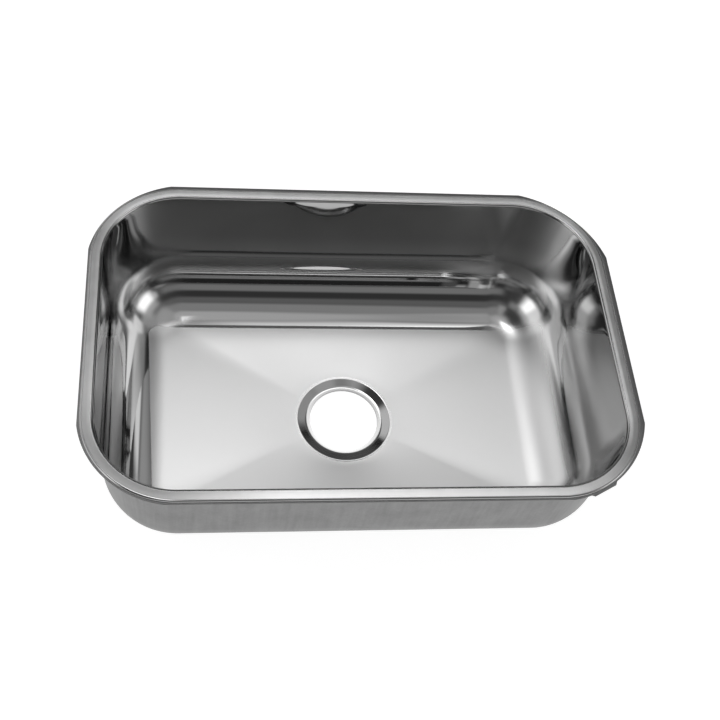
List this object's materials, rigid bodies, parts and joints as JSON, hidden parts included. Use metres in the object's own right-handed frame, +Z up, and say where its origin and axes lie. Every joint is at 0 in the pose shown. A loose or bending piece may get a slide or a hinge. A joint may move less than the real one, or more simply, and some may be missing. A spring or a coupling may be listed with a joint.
{
  "type": "undermount kitchen sink",
  "caption": "Undermount stainless kitchen sink: deep rounded rectangular bowl with flanged rim, recessed drain hole and sound-deadening pads under its floor.",
  "frame": {"origin": "centre of the bowl's opening in the plane of the rim's top face, which lies against the worktop's underside", "axes": "+X to the right along the length, +Y to the back, +Z up out of the bowl"},
  "size_m": [0.6502, 0.4385, 0.1925],
  "materials": {
    "stainless_steel": "mirror-polished walls, satin floor and flange",
    "pad_rubber": "matt"
  },
  "bodies": {
    "root": {"bowl": "stainless_steel", "sound_pad_left": "pad_rubber", "sound_pad_right": "pad_rubber"}
  },
  "joints": []
}
